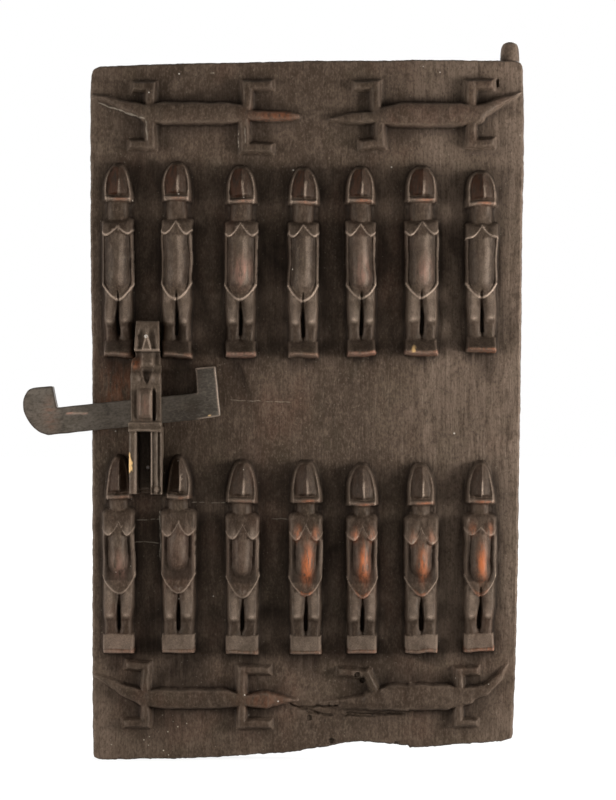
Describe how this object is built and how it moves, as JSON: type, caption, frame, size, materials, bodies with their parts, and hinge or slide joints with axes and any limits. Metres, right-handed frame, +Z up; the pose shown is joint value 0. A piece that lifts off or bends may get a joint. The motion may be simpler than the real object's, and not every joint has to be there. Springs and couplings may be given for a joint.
{
  "type": "carved granary door",
  "caption": "Upright plank door carved in relief with rows of figures and crocodiles, with a pivot peg on its top corner and a wooden lock whose hooked bolt slides sideways.",
  "frame": {"origin": "on the axis of the pivot peg, where the peg leaves the top edge of the plank, at mid thickness of the plank", "axes": "+Z up along the pivot axis, +X toward the pivot edge, -Y out of the carved face"},
  "size_m": [0.4987, 0.076, 0.7205],
  "materials": {
    "dark_wood": "worn dark patina",
    "lock_wood": "worn dark patina",
    "grey_wood": "handled grey patina",
    "old_iron": "aged iron"
  },
  "bodies": {
    "door": {"door_panel": "dark_wood", "lock_case": "lock_wood", "lock_nail_top": "old_iron", "lock_nail_bottom": "old_iron"},
    "bolt": {"lock_bolt": "grey_wood"},
    "pin_left": {"tumbler_pin_left": "old_iron"},
    "pin_right": {"tumbler_pin_right": "old_iron"}
  },
  "joints": [
    {"name": "bolt_slide", "type": "slide", "parent": "door", "child": "bolt", "axis": [0.9945, 0, 0.1045], "range_m": [-0.031, 0.072]},
    {"name": "pin_left_lift", "type": "slide", "parent": "door", "child": "pin_left", "axis": [0, 0, 1], "range_m": [0, 0.012]},
    {"name": "pin_right_lift", "type": "slide", "parent": "door", "child": "pin_right", "axis": [0, 0, 1], "range_m": [0, 0.012]}
  ]
}
